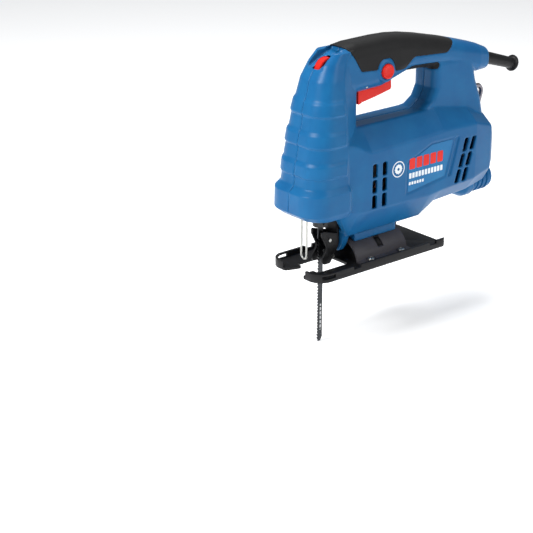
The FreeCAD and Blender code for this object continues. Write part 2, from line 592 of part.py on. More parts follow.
# switch, speed control and suppressor inside the handle
SPRING_X = 22.0
TRIGGER_TOP_Z = 170.0
SWITCH_SEAT_Z = 184.0
BUTTON_SPRING_SEAT_Y = -3.0
parts["switch_module"] = fuse([
    box(31, 57, -8, 8, 176, 196),
    box(BUTTON_X - 4, 31, -6, 6, SWITCH_SEAT_Z, SWITCH_SEAT_Z + 3),
    box(BUTTON_X - 4, BUTTON_X + 4, BUTTON_SPRING_SEAT_Y, 0, 174.5, SWITCH_SEAT_Z)])
parts["speed_module"] = fuse([box(-18, 2, -8, 8, 187, 189), box(-16, -6, -6, 6, 189, 198), box(-5, 1, -5, 5, 189, 195)])
parts["suppressor"] = rod(6.5, (62, 0, 185), (84, 0, 182))
parts["dial_axle"] = rod(2.0, (DIAL_X, -DIAL_WIDTH / 2 - SIDE - 3, DIAL_Z), (DIAL_X, DIAL_WIDTH / 2 + SIDE + 3, DIAL_Z))
parts["trigger_pin"] = rod(PIVOT_R, (TRIGGER_PIVOT[0], -HANDLE_HALF + WALL, TRIGGER_PIVOT[1]),
                           (TRIGGER_PIVOT[0], HANDLE_HALF - WALL, TRIGGER_PIVOT[1]))
parts["trigger_spring"] = coil(2.5, 0.4, SWITCH_SEAT_Z - TRIGGER_TOP_Z - 0.8, 6,
                               (SPRING_X, 0, TRIGGER_TOP_Z + 0.4), (0, 0, 1))


# cord bush: a soft sleeve with a collar at its end, gripped in the shells; and the bar that clamps the cord
def cord_bush():
    sleeve = [rod(BUSH_R, along_bush(-14), along_bush(BUSH_LENGTH - 2)),
              rod(BUSH_R + 1.4, along_bush(-13), along_bush(-11)),
              rod(BUSH_R + 2.2, along_bush(BUSH_LENGTH - 3), along_bush(BUSH_LENGTH))]
    return fuse(sleeve).cut(rod(BUSH_BORE_R, along_bush(-20), along_bush(BUSH_LENGTH + 1)))


parts["cord_bush"] = cord_bush()
CORD_BAR_Z = 168.0
bar_holes = [rod(1.6, (126, y, 150), (126, y, 180)) for y in (-7, 7)]
parts["cord_clamp"] = box(122.5, 129.5, -10, 10, CORD_BAR_Z, CORD_BAR_Z + 3).cut(bar_holes)
parts["cord_clamp_screws"] = compound([
    fuse([rod(1.6, (126, y, 161), (126, y, CORD_BAR_Z + 3)), rod(2.8, (126, y, CORD_BAR_Z + 3), (126, y, CORD_BAR_Z + 5))])
    for y in (-7, 7)])


# dust duct and port
def dust_port():
    rings = [rod(PORT_SEAT_R, (PORT_FRONT_X, 0, PORT_Z), (PORT_REAR_X, 0, PORT_Z))]
    for k in range(4):
        x = PORT_SEAT_X + 1.5 + k * 6.0
        rings.append(rod(PORT_R, (x, 0, PORT_Z), (x + 3.2, 0, PORT_Z)))
    return fuse(rings).cut(rod(PORT_BORE_R, (0, 0, PORT_Z), (200, 0, PORT_Z)))


parts["dust_port"] = dust_port()
DUCT_X = (-20.0, 116.0)
duct = box(DUCT_X[0], DUCT_X[1], -DUCT_HALF, DUCT_HALF, DUCT_Z[0], DUCT_Z[1])
parts["dust_duct"] = duct.cut(box(DUCT_X[0] - 1, DUCT_X[1] + 1, -DUCT_HALF + DUCT_WALL, DUCT_HALF - DUCT_WALL,
                                  DUCT_Z[0] + DUCT_WALL, DUCT_Z[1] - DUCT_WALL))


# finger guard: a bent wire in front of the blade
def guard_wire():
    low = 16.5
    top_left, low_left = Vector(GUARD_X, -GUARD_HALF, GUARD_TOP_Z), Vector(GUARD_X, -GUARD_HALF, low)
    low_right, top_right = Vector(GUARD_X, GUARD_HALF, low), Vector(GUARD_X, GUARD_HALF, GUARD_TOP_Z)
    bend = Part.Arc(low_left, Vector(GUARD_X, 0, low - GUARD_HALF), low_right).toShape()
    path = Part.Wire([Part.makeLine(top_left, low_left), bend, Part.makeLine(low_right, top_right)])
    ring = Part.Wire(Part.makeCircle(GUARD_WIRE_R, top_left, Vector(0, 0, 1)))
    return path.makePipeShell([ring], True, False)


parts["guard_wire"] = guard_wire()

# roller fork: two cheeks on a web that is screwed to the gear case
FORK = [(-53.0, 37.0, 1.5), (-33.0, 31.0, 1.0), (-33.5, 19.0, 4.0), (-43.0, 4.5, 3.0), (-52.5, 4.5, 3.4),
        (-52.5, 11.5, 3.4), (-46.5, 19.0, 5.0), (-53.0, 32.0, 2.0)]
FORK_PIN_R = 1.5
LOWER_PIN = (-49.0, 8.0)
UPPER_PIN = (-44.0, 27.0)
FORK_FOOT_Z = (62.0, 65.0)


def roller_fork():
    cheeks = [slab_xz(FORK, -FORK_HALF, -FORK_HALF + FORK_SHEET), slab_xz(FORK, FORK_HALF - FORK_SHEET, FORK_HALF)]
    web = box(FORK_WEB_X[0], FORK_WEB_X[1], -FORK_HALF, FORK_HALF, 22, FORK_FOOT_Z[1])
    foot = box(FORK_WEB_X[0], BULKHEAD_X[0], -FORK_HALF, FORK_HALF, FORK_FOOT_Z[0], FORK_FOOT_Z[1])
    holes = [rod(FORK_PIN_R, (x, -20, z), (x, 20, z)) for x, z in (UPPER_PIN, (ROLLER_X, ROLLER_Z))]
    return fuse(cheeks + [web, foot]).cut(holes)


parts["roller_fork"] = roller_fork()
parts["fork_pins"] = compound([
    fuse([rod(FORK_PIN_R, (x, -FORK_HALF - 0.8, z), (x, FORK_HALF + 0.8, z))])
    for x, z in (UPPER_PIN, (ROLLER_X, ROLLER_Z))])

# bevel clamp: the screw reaches up through the saddle's slot into a nut in the body
CLAMP_HEAD_Z = (13.8, 18.2)
parts["bevel_screw"] = fuse([rod(5.0, (SADDLE_MID_X, 0, CLAMP_HEAD_Z[0]), (SADDLE_MID_X, 0, CLAMP_HEAD_Z[1])),
                             rod(CLAMP_SCREW_R, (SADDLE_MID_X, 0, CLAMP_HEAD_Z[1]), (SADDLE_MID_X, 0, 38))]).cut(
    hexagon(4.0, (SADDLE_MID_X, 0, CLAMP_HEAD_Z[0] - 1), (0, 0, 1), 4.0))
NUT_Z = (32.2, 37.0)
parts["bevel_nut"] = hexagon(10.0, (SADDLE_MID_X, 0, NUT_Z[0]), (0, 0, 1), NUT_Z[1] - NUT_Z[0]).cut(
    rod(CLAMP_SCREW_R, (SADDLE_MID_X, 0, 0), (SADDLE_MID_X, 0, 60)))

# side labels lie in the panel recesses
LABEL = [(31.0, 62.5, 1.5), (77.5, 69.0, 1.5), (88.0, 102.5, 1.5), (60.5, 102.5, 3), (31.0, 90.5, 3)]
LABEL_SHEET = 0.4
floor_y = BODY_HALF - PANEL_DEPTH
parts["label_left"] = slab_xz(LABEL, -floor_y - LABEL_SHEET, -floor_y)
parts["label_right"] = slab_xz(LABEL, floor_y, floor_y + LABEL_SHEET)


# ---------------------------------------------------------------- sole
def sole_plate():
    half, front = SOLE_WIDTH / 2, -SOLE_LENGTH / 2
    plan = [(front, -half, 14.0), (-front, -half, 5.0), (-front, half, 5.0), (front, half, 14.0),
            (front, MOUTH_HALF, 3.0), (front + 12.0, THROAT_HALF, 3.0), (WINDOW_FRONT_X, THROAT_HALF, 1.0),
            (WINDOW_FRONT_X, WINDOW_HALF, 3.0), (WINDOW_REAR_X, WINDOW_HALF, 4.0),
            (WINDOW_REAR_X, -WINDOW_HALF, 4.0), (WINDOW_FRONT_X, -WINDOW_HALF, 3.0),
            (WINDOW_FRONT_X, -THROAT_HALF, 1.0), (front + 12.0, -THROAT_HALF, 3.0), (front, -MOUTH_HALF, 3.0)]
    outer = [(front, -half, 14.0), (-front, -half, 5.0), (-front, half, 5.0), (front, half, 14.0)]
    s = SOLE_SHEET
    inner = [(front + s, -half + s, 14.0 - s), (-front + 9, -half + s, 2.0), (-front + 9, half - s, 2.0),
             (front + s, half - s, 14.0 - s)]
    rim = slab_xy(outer, 0, SOLE_RIM_HEIGHT).cut(slab_xy(inner, -1, SOLE_RIM_HEIGHT + 1))
    rim = rim.cut(box(front - 1, front + 6, -MOUTH_HALF - 3, MOUTH_HALF + 3, -1, SOLE_RIM_HEIGHT + 1))
    plate = fuse([slab_xy(plan, 0, SOLE_SHEET), rim])
    guide_slots = [box(front + 6, front + 20, -half - 1, half + 1, SOLE_SHEET + 0.6, SOLE_RIM_HEIGHT - 1.6)]
    holes = [rod(2.0, (x, y, -1), (x, y, 10)) for x, y in SADDLE_BOLTS]
    access = rod(4.0, (SADDLE_MID_X, 0, -1), (SADDLE_MID_X, 0, 5))
    notches = [box(x, x + 9, y0, y1, SOLE_SHEET + 2.5, 20) for x in (-38.0, 58.0) for y0, y1 in ((-40, -20), (20, 40))]
    return plate.cut(guide_slots + holes + [access] + notches)


FLANGE_HALF = 31.0
SADDLE_BOLTS = [(SADDLE_FRONT_X + 12, -26.5), (SADDLE_REAR_X - 12, -26.5),
                (SADDLE_FRONT_X + 12, 26.5), (SADDLE_REAR_X - 12, 26.5)]


def tilt_saddle():
    half_tube = tube(SADDLE_RADIUS, SADDLE_RADIUS - SADDLE_SHEET, (SADDLE_FRONT_X, 0, 0), (SADDLE_REAR_X, 0, 0))
    half_tube = half_tube.common(box(-100, 100, -40, 40, SOLE_SHEET, 40))
    flange_plan = [(SADDLE_FRONT_X, -FLANGE_HALF, 5.0), (SADDLE_REAR_X, -FLANGE_HALF, 5.0),
                   (SADDLE_REAR_X, FLANGE_HALF, 5.0), (SADDLE_FRONT_X, FLANGE_HALF, 5.0)]
    flange = slab_xy(flange_plan, SOLE_SHEET, SOLE_SHEET * 2)
    flange = flange.cut(rod(SADDLE_RADIUS - SADDLE_SHEET, (-100, 0, 0), (100, 0, 0)))
    slot_low = (SADDLE_RADIUS - SADDLE_SHEET) * math.cos(math.radians(BEVEL_LIMIT_DEG + 10))
    slot = box(SADDLE_MID_X - CLAMP_SCREW_R - SIDE, SADDLE_MID_X + CLAMP_SCREW_R + SIDE, -40, 40, slot_low, 40)
    holes = [rod(2.0, (x, y, -1), (x, y, 10)) for x, y in SADDLE_BOLTS]
    return fuse([half_tube, flange]).cut([slot] + holes)


parts["sole_plate"] = sole_plate()
parts["tilt_saddle"] = tilt_saddle()
top = SOLE_SHEET * 2
parts["saddle_bolts"] = compound([
    fuse([rod(1.95, (x, y, 0.4), (x, y, top)), rod(3.3, (x, y, top), (x, y, top + 2.2))]) for x, y in SADDLE_BOLTS])


# ---------------------------------------------------------------- armature
def gear(teeth, width, x, z, turned):
    """A straight toothed wheel about the X direction; each tooth is a short trapezium."""
    root, tip = GEAR_MODULE * (teeth / 2 - 1.2), GEAR_MODULE * (teeth / 2 + 0.9)
    corners = []
    for k in range(teeth):
        for radius, share in ((root, -0.36), (tip, -0.11), (tip, 0.11), (root, 0.36)):
            angle = 2 * math.pi * (k + share + turned) / teeth
            corners.append((radius * math.cos(angle), z + radius * math.sin(angle), 0))
    return slab_yz(corners, x, x + width)


PINION_REAR_X = GEAR_FRONT_X + GEAR_WIDTH + 2.0
parts["armature_shaft"] = fuse([
    gear(PINION_TEETH, GEAR_WIDTH + 2.0, GEAR_FRONT_X, MOTOR_Z, 0.0),
    rod(SHAFT_R - 0.6, (GEAR_FRONT_X, 0, MOTOR_Z), (FRONT_BEARING_X - 0.5, 0, MOTOR_Z)),
    rod(SHAFT_R, (FRONT_BEARING_X - 0.5, 0, MOTOR_Z), (REAR_BEARING_X + BEARING_WIDTH, 0, MOTOR_Z))])


def on_shaft(radius, x0, x1):
    return tube(radius, SHAFT_R, (x0, 0, MOTOR_Z), (x1, 0, MOTOR_Z))


def armature_core():
    core = on_shaft(ARMATURE_R, STATOR_FRONT_X - 1, STATOR_REAR_X + 1)
    slots = []
    for k in range(12):
        angle = math.radians(30 * k)
        slot = box(0, 80, -0.8, 0.8, ARMATURE_R - 5, ARMATURE_R + 1)
        slot.rotate(Vector(0, 0, 0), Vector(1, 0, 0), math.degrees(angle))
        slot.translate(Vector(0, 0, MOTOR_Z))
        slots.append(slot)
    return core.cut(slots)


def fan():
    hub = on_shaft(7.0, -12, -12 + FAN_WIDTH)
    disc = on_shaft(FAN_R, -12 + FAN_WIDTH - 1.6, -12 + FAN_WIDTH)
    blades = []
    for k in range(12):
        blade = box(-12, -12 + FAN_WIDTH, -0.7, 0.7, 6.0, FAN_R - 0.6)
        blade.rotate(Vector(0, 0, 0), Vector(1, 0, 0), 30 * k)
        blade.translate(Vector(0, 0, MOTOR_Z))
        blades.append(blade)
    return fuse([hub, disc] + blades)


parts["armature_core"] = armature_core()
parts["armature_windings"] = compound([on_shaft(ARMATURE_R - 2, STATOR_FRONT_X - 6.5, STATOR_FRONT_X - 1),
                                       on_shaft(ARMATURE_R - 2, STATOR_REAR_X + 1, STATOR_REAR_X + 6.5)])
parts["commutator"] = on_shaft(COMMUTATOR_R, COMMUTATOR_X, COMMUTATOR_X + COMMUTATOR_LENGTH)
parts["fan"] = fan()


# ---------------------------------------------------------------- drive wheel, plunger, blade
def drive_wheel():
    wheel = gear(WHEEL_TEETH, GEAR_WIDTH, GEAR_FRONT_X, WHEEL_Z, 0.0)
    pin = rod(2.5, (GEAR_FRONT_X - 2.5, 0, YOKE_Z), (GEAR_FRONT_X + 1, 0, YOKE_Z))
    return fuse([wheel, pin]).cut(rod(AXLE_R + RUN, (-60, 0, WHEEL_Z), (0, 0, WHEEL_Z)))


YOKE_X = (-46.0, -41.0)
YOKE_HALF_HEIGHT = 6.5
PLUNGER_FOOT_Z = CLAMP_BODY_BOTTOM_Z + 8.0


def plunger():
    shaft = rod(PLUNGER_R, (PLUNGER_X, 0, PLUNGER_FOOT_Z), (PLUNGER_X, 0, UPPER_ARM_Z + ARM_HEIGHT + 3))
    reach = CRANK_R + 5.0
    yoke = box(YOKE_X[0], YOKE_X[1], -reach, reach, YOKE_Z - YOKE_HALF_HEIGHT, YOKE_Z + YOKE_HALF_HEIGHT)
    slot = box(YOKE_X[0] + 2, YOKE_X[1] + 1, -reach + 2, reach - 2, YOKE_Z - 2.8, YOKE_Z + 2.8)
    return fuse([shaft, yoke]).cut(slot)


def blade_clamp():
    block = rod(CLAMP_BODY_R, (PLUNGER_X, 0, CLAMP_BODY_BOTTOM_Z), (PLUNGER_X, 0, CLAMP_BODY_TOP_Z))
    socket = rod(PLUNGER_R, (PLUNGER_X, 0, PLUNGER_FOOT_Z), (PLUNGER_X, 0, CLAMP_BODY_TOP_Z + 1))
    slot = box(BLADE_FRONT_X, BLADE_BACK_X, -BLADE_SHEET / 2, BLADE_SHEET / 2, 0, PLUNGER_FOOT_Z)
    screw_holes = [rod(2.0, (PLUNGER_X, -20, z), (PLUNGER_X, y, z)) for z, y in CLAMP_SCREWS]
    return block.cut([socket, slot] + screw_holes)


CLAMP_SCREWS = [(CLAMP_BODY_BOTTOM_Z + 3.8, -BLADE_SHEET / 2), (CLAMP_BODY_BOTTOM_Z + 10.8, -PLUNGER_R)]


def saw_blade():
    edge = [(BLADE_BACK_X, PLUNGER_FOOT_Z - 0.2, 0), (BLADE_BACK_X, BLADE_TIP_Z + 4.0, 0),
            (BLADE_BACK_X - 2.0, BLADE_TIP_Z, 0), (BLADE_FRONT_X + 1.2, BLADE_TIP_Z, 0)]
    count = int((CLAMP_BODY_BOTTOM_Z - 12.0 - BLADE_TIP_Z) / TOOTH_PITCH)
    for k in range(count):
        z = BLADE_TIP_Z + 1.0 + k * TOOTH_PITCH
        edge.append((BLADE_FRONT_X + TOOTH_DEPTH, z, 0))
        edge.append((BLADE_FRONT_X, z + TOOTH_PITCH - 0.6, 0))
    edge.append((BLADE_FRONT_X, PLUNGER_FOOT_Z - 0.2, 0))
    return slab_xz(edge, -BLADE_SHEET / 2, BLADE_SHEET / 2)


parts["drive_wheel"] = drive_wheel()
parts["plunger"] = plunger()
parts["blade_clamp"] = blade_clamp()
parts["clamp_screws"] = compound([
    rod(2.0, (PLUNGER_X, -CLAMP_BODY_R - 1.2, z), (PLUNGER_X, y, z)) for z, y in CLAMP_SCREWS])
parts["saw_blade"] = saw_blade()


def guide_roller():
    """A roller with a groove that the back of the blade runs in."""
    flange_r, half = ROLLER_R + 1.0, ROLLER_WIDTH / 2
    groove = BLADE_SHEET / 2 + SIDE
    middle = rod(ROLLER_R, (ROLLER_X, -half, ROLLER_Z), (ROLLER_X, half, ROLLER_Z))
    flanges = [rod(flange_r, (ROLLER_X, y0, ROLLER_Z), (ROLLER_X, y1, ROLLER_Z))
               for y0, y1 in ((-half, -groove), (groove, half))]
    return fuse([middle] + flanges).cut(rod(FORK_PIN_R + RUN, (ROLLER_X, -20, ROLLER_Z), (ROLLER_X, 20, ROLLER_Z)))


parts["guide_roller"] = guide_roller()

# ---------------------------------------------------------------- controls
TRIGGER = [(-12.5, TRIGGER_TOP_Z, 2.0), (27.0, TRIGGER_TOP_Z, 2.0), (28.0, 156.5, 2.5), (8.0, 152.5, 20.0),
           (-8.0, 150.0, 6.0), (-12.5, 148.0, 1.0)]
parts["trigger"] = slab_xz(TRIGGER, -TRIGGER_HALF, TRIGGER_HALF).cut(
    rod(PIVOT_R + RUN, (TRIGGER_PIVOT[0], -20, TRIGGER_PIVOT[1]), (TRIGGER_PIVOT[0], 20, TRIGGER_PIVOT[1])))
BUTTON_FACE_Y = -HANDLE_HALF - 1.0 - BUTTON_TRAVEL + 0.6
BUTTON_FOOT_Y = -HANDLE_HALF + WALL + 1.6


def lock_button():
    stem = rod(BUTTON_R, (BUTTON_X, BUTTON_FACE_Y, BUTTON_Z), (BUTTON_X, BUTTON_FOOT_Y, BUTTON_Z))
    flange = rod(BUTTON_R + 1.4, (BUTTON_X, BUTTON_FOOT_Y - 1.3, BUTTON_Z), (BUTTON_X, BUTTON_FOOT_Y, BUTTON_Z))
    return fuse([stem, flange])


parts["lock_button"] = lock_button()
parts["button_spring"] = coil(2.4, 0.35, BUTTON_SPRING_SEAT_Y - BUTTON_FOOT_Y - 0.7, 5,
                              (BUTTON_X, BUTTON_FOOT_Y + 0.35, BUTTON_Z), (0, 1, 0))


def speed_dial():
    half = DIAL_WIDTH / 2
    wheel = rod(DIAL_R, (DIAL_X, -half, DIAL_Z), (DIAL_X, half, DIAL_Z))
    grooves = []
    for k in range(24):
        angle = math.radians(15 * k)
        at = (DIAL_X + DIAL_R * math.cos(angle), DIAL_Z + DIAL_R * math.sin(angle))
        grooves.append(rod(0.7, (at[0], -half - 1, at[1]), (at[0], half + 1, at[1])))
    return wheel.cut(grooves + [rod(2.0 + RUN, (DIAL_X, -20, DIAL_Z), (DIAL_X, 20, DIAL_Z))])


parts["speed_dial"] = speed_dial()


# ---------------------------------------------------------------- hex key kept in the body
def hex_key():
    bend = 6.0
    top, foot = Vector(*KEY_TOP), Vector(*key_foot)
    tail = Vector(KEY_TOP[0] - KEY_SHORT_LEG, KEY_TOP[1], KEY_TOP[2])
    along = (foot - top).normalize()
    back = (tail - top).normalize()
    half = along.getAngle(back) / 2
    reach = bend / math.tan(half)
    inward = (along + back).normalize()
    middle = top + inward * (bend / math.sin(half) - bend)
    path = Part.Wire([Part.makeLine(foot, top + along * reach),
                      Part.Arc(top + along * reach, middle, top + back * reach).toShape(),
                      Part.makeLine(top + back * reach, tail)])
    corners = []
    side = along.cross(Vector(0, 1, 0))
    for k in range(6):
        angle = math.radians(60 * k)
        corners.append(foot + side * (KEY_CORNER_R * math.cos(angle))
                       + Vector(0, 1, 0) * (KEY_CORNER_R * math.sin(angle)))
    section = Part.makePolygon(corners + [corners[0]])
    return path.makePipeShell([section], True, False)


parts["hex_key"] = hex_key()

# ---------------------------------------------------------------- write every piece
os.makedirs("parts", exist_ok=True)
for name, shape in parts.items():
    shape.exportStep(f"parts/{name}.step")
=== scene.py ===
"""Corded jigsaw: the studio, then each piece from the shells inwards and downwards."""
import json
import math
import bpy
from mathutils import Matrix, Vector

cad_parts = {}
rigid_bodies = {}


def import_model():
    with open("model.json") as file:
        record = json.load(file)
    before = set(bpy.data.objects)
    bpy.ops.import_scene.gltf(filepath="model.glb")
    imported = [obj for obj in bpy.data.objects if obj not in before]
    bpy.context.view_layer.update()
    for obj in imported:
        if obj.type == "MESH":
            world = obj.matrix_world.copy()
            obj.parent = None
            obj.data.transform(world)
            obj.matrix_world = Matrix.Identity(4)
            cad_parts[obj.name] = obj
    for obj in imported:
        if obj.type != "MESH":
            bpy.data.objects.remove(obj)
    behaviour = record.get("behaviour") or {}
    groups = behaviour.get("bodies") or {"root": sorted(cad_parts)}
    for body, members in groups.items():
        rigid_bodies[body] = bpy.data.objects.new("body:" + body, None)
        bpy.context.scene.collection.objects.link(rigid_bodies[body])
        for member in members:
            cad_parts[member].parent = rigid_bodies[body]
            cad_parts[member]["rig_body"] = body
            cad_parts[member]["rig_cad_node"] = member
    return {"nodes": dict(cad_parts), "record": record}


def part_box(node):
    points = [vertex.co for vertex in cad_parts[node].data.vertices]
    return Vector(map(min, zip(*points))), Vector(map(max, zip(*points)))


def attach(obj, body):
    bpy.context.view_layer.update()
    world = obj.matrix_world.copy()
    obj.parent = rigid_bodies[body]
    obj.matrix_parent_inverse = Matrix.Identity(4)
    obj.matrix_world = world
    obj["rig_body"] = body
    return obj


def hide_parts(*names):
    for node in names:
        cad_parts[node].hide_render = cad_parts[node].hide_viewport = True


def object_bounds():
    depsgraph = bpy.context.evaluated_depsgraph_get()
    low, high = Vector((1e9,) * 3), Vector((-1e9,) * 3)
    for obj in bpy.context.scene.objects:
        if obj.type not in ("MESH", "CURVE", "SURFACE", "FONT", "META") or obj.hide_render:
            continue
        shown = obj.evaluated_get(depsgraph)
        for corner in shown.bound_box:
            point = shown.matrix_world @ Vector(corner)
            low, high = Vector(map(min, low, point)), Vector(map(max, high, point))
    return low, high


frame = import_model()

cad_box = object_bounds()
bpy.ops.object.select_all(action="DESELECT")
MM = 0.001


# ---------------------------------------------------------------- studio
# A sheet of matt white paper that glows a little, under a soft light from the upper left and
# two weaker ones. It isn't part of the tool.
def linear(code):
    """An sRGB hex colour as linear RGBA."""
    parts = [int(code[i:i + 2], 16) / 255 for i in (1, 3, 5)]
    return [p / 12.92 if p <= 0.04045 else ((p + 0.055) / 1.055) ** 2.4 for p in parts] + [1.0]


def add_node(material, kind, settings, links=None):
    """Adds a shader node with its settings, and its inputs linked from (node, output) pairs."""
    made = material.node_tree.nodes.new("ShaderNode" + kind)
    for name, value in settings.items():
        if isinstance(name, str) and hasattr(made, name):
            setattr(made, name, value)
        else:
            made.inputs[name].default_value = value
    for name, (source, output) in (links or {}).items():
        material.node_tree.links.new(source.outputs[output], made.inputs[name])
    return made


def new_material(name):
    """An empty node material with its Principled shader and object coordinates."""
    material = bpy.data.materials.new(name)
    material.use_nodes = True
    shader = material.node_tree.nodes["Principled BSDF"]
    place = add_node(material, "TexCoord", {})
    return material, shader, place


def feed(material, shader, **sources):
    """Links shader sockets from (node, output) pairs; an underscore stands for a space."""
    for name, (source, output) in sources.items():
        material.node_tree.links.new(source.outputs[output],
                                     shader.inputs[name.replace("_", " ")])


FLOOR_SIZE = 8.0
FLOOR_GAP = 0.0005
floor_height = Vector(cad_box[0]).z - FLOOR_GAP
bpy.ops.mesh.primitive_plane_add(size=FLOOR_SIZE, location=(0, 0, floor_height))
studio_floor = bpy.context.object
studio_floor.name = "studio_floor"
paper, paper_shader, paper_place = new_material("matt_white_paper")
paper_grain = add_node(paper, "TexNoise", {"Scale": 900.0, "Detail": 2.0},
                       {"Vector": (paper_place, "Object")})
paper_tone = add_node(paper, "ValToRGB", {}, {"Fac": (paper_grain, "Fac")})
paper_tone.color_ramp.elements[0].color = linear("#F4F5F6")
paper_tone.color_ramp.elements[1].color = linear("#FCFCFC")
feed(paper, paper_shader, Base_Color=(paper_tone, "Color"))
paper_shader.inputs["Roughness"].default_value = 0.9
paper_shader.inputs["Emission Color"].default_value = linear("#FFFFFF")
paper_shader.inputs["Emission Strength"].default_value = 0.35
studio_floor.data.materials.append(paper)

world = bpy.data.worlds.new("studio_air")
world.use_nodes = True
world.node_tree.nodes["Background"].inputs["Color"].default_value = linear("#F3F6FA")
world.node_tree.nodes["Background"].inputs["Strength"].default_value = 0.28
bpy.context.scene.world = world
bpy.context.scene.view_settings.view_transform = "Standard"


def soft_light(name, place, target, size, power):
    """A square area light that faces a point."""
    bpy.ops.object.light_add(type="AREA", location=place)
    light = bpy.context.object
    light.name = name
    light.data.size = size
    light.data.energy = power
    light.rotation_euler = (Vector(target) - Vector(place)).to_track_quat("-Z", "Y").to_euler()


soft_light("key_light", (-1.15, 0.10, 0.95), (0.0, 0.0, 0.10), 0.6, 19.0)
soft_light("side_light", (0.55, -1.20, 0.75), (0.03, 0.0, 0.10), 0.9, 8.0)
soft_light("top_light", (0.10, 0.25, 1.30), (0.0, 0.0, 0.10), 0.6, 12.0)

CAMERA_LENS_MM = 108.07
CAMERA_DOWN_DEG = 21.567
CAMERA_TURN_DEG = -39.492
camera_data = bpy.data.cameras.new("camera")
camera_data.lens = CAMERA_LENS_MM
camera = bpy.data.objects.new("camera", camera_data)
bpy.context.collection.objects.link(camera)
camera.location = (-0.9540, -1.0218, 0.5394)
camera.rotation_euler = (math.radians(90 - CAMERA_DOWN_DEG), 0, math.radians(CAMERA_TURN_DEG))
bpy.context.scene.camera = camera


# ---------------------------------------------------------------- body shells
# Two half shells of glass-filled ABS, injection moulded and closed with screws. The moulder's
# tool has a fine spark-eroded texture, every corner is drafted and rounded, and the two halves
# meet in a narrow groove.
NOISE_LOW, NOISE_HIGH = 0.3, 0.7
PLASTIC_SPECULAR = 0.2


def moulded(name, dark, light, rough, grain_mm, depth_mm, metallic=0.0, patch_mm=40.0):
    """A surface whose tone drifts over patch_mm, with a fine grain of grain_mm in it."""
    material, shader, place = new_material(name)
    patches = add_node(material, "TexNoise",
                       {"Scale": 1000.0 / patch_mm, "Detail": 5.0, "Roughness": 0.6},
                       {"Vector": (place, "Object")})
    grain = add_node(material, "TexNoise",
                     {"Scale": 1000.0 / grain_mm, "Detail": 3.0, "Roughness": 0.55},
                     {"Vector": (place, "Object")})
    tone = add_node(material, "ValToRGB", {}, {"Fac": (patches, "Fac")})
    tone.color_ramp.elements[0].color = linear(dark)
    tone.color_ramp.elements[0].position = NOISE_LOW
    tone.color_ramp.elements[1].color = linear(light)
    tone.color_ramp.elements[1].position = NOISE_HIGH
    gloss = add_node(material, "MapRange",
                     {"From Min": NOISE_LOW, "From Max": NOISE_HIGH,
                      "To Min": rough[0], "To Max": rough[1]},
                     {"Value": (patches, "Fac")})
    relief = add_node(material, "Bump", {"Strength": 1.0, "Distance": depth_mm * MM},
                      {"Height": (grain, "Fac")})
    feed(material, shader, Base_Color=(tone, "Color"), Roughness=(gloss, "Result"),
         Normal=(relief, "Normal"))
    shader.inputs["Metallic"].default_value = metallic
    if not metallic:
        shader.inputs["Specular IOR Level"].default_value = PLASTIC_SPECULAR
    return material


def show_only(piece):
    """Makes piece the one selected and active object."""
    bpy.ops.object.select_all(action="DESELECT")
    piece.select_set(True)
    bpy.context.view_layer.objects.active = piece


def edit_all():
    """Enters edit mode with the whole mesh selected."""
    bpy.ops.object.mode_set(mode="EDIT")
    bpy.ops.mesh.select_all(action="SELECT")


MERGE_MM = 0.002


def copy_of(node):
    """A merged copy of a CAD node, as a start for a finished piece."""
    piece = frame["nodes"][node].copy()
    piece.data = piece.data.copy()
    piece.name = node + "_finished"
    bpy.context.collection.objects.link(piece)
    piece.parent = None
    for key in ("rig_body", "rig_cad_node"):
        if key in piece:
            del piece[key]
    piece.data.materials.clear()
    show_only(piece)
    bpy.ops.mesh.customdata_custom_splitnormals_clear()
    edit_all()
    bpy.ops.mesh.remove_doubles(threshold=MERGE_MM * MM)
    bpy.ops.object.mode_set(mode="OBJECT")
    return piece


def apply_modifier(piece, kind, **settings):
    """Adds a modifier with its settings and applies it."""
    modifier = piece.modifiers.new(kind.lower(), kind)
    for name, value in settings.items():
        setattr(modifier, name, value)
    show_only(piece)
    bpy.ops.object.modifier_apply(modifier=modifier.name)


def melted(piece, voxel_mm, passes, keep):
    """Rounds every corner as a mould does: remesh, relax, then thin the mesh."""
    apply_modifier(piece, "REMESH", mode="VOXEL", voxel_size=voxel_mm * MM)
    apply_modifier(piece, "SMOOTH", factor=0.5, iterations=passes)
    apply_modifier(piece, "DECIMATE", ratio=keep)
    bpy.ops.object.shade_smooth()


def finish_piece(piece, material, body, slot, *nodes):
    """Gives a piece its material and body, and lets it stand for its CAD nodes."""
    piece.data.materials.append(material)
    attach(piece, body)
    if nodes:
        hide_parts(*nodes)


blue_abs = moulded("blue_glass_filled_abs", "#11568A", "#166497", (0.30, 0.38), 0.45, 0.006)
shells = {}
for side, shell_node in ((-1, "housing_left"), (1, "housing_right")):
    shell = shells[side] = copy_of(shell_node)
    melted(shell, 0.8, 3, 0.55)
    finish_piece(shell, blue_abs, "housing", "blue_shell", shell_node)

# ---------------------------------------------------------------- grip and finger pad
# Soft black TPE moulded over the handle, a little proud of it, with a fine leather-like grain
# that kills the shine.
tpe = moulded("black_overmoulded_tpe", "#0D0D0E", "#151516", (0.46, 0.58), 0.9, 0.03)
tpe.node_tree.nodes["Principled BSDF"].inputs["Sheen Weight"].default_value = 0.03
for skin_node in ("handle_grip", "handle_pad"):
    skin = copy_of(skin_node)
    melted(skin, 0.5, 3, 0.5)
    finish_piece(skin, tpe, "housing", "black_rubber", skin_node)


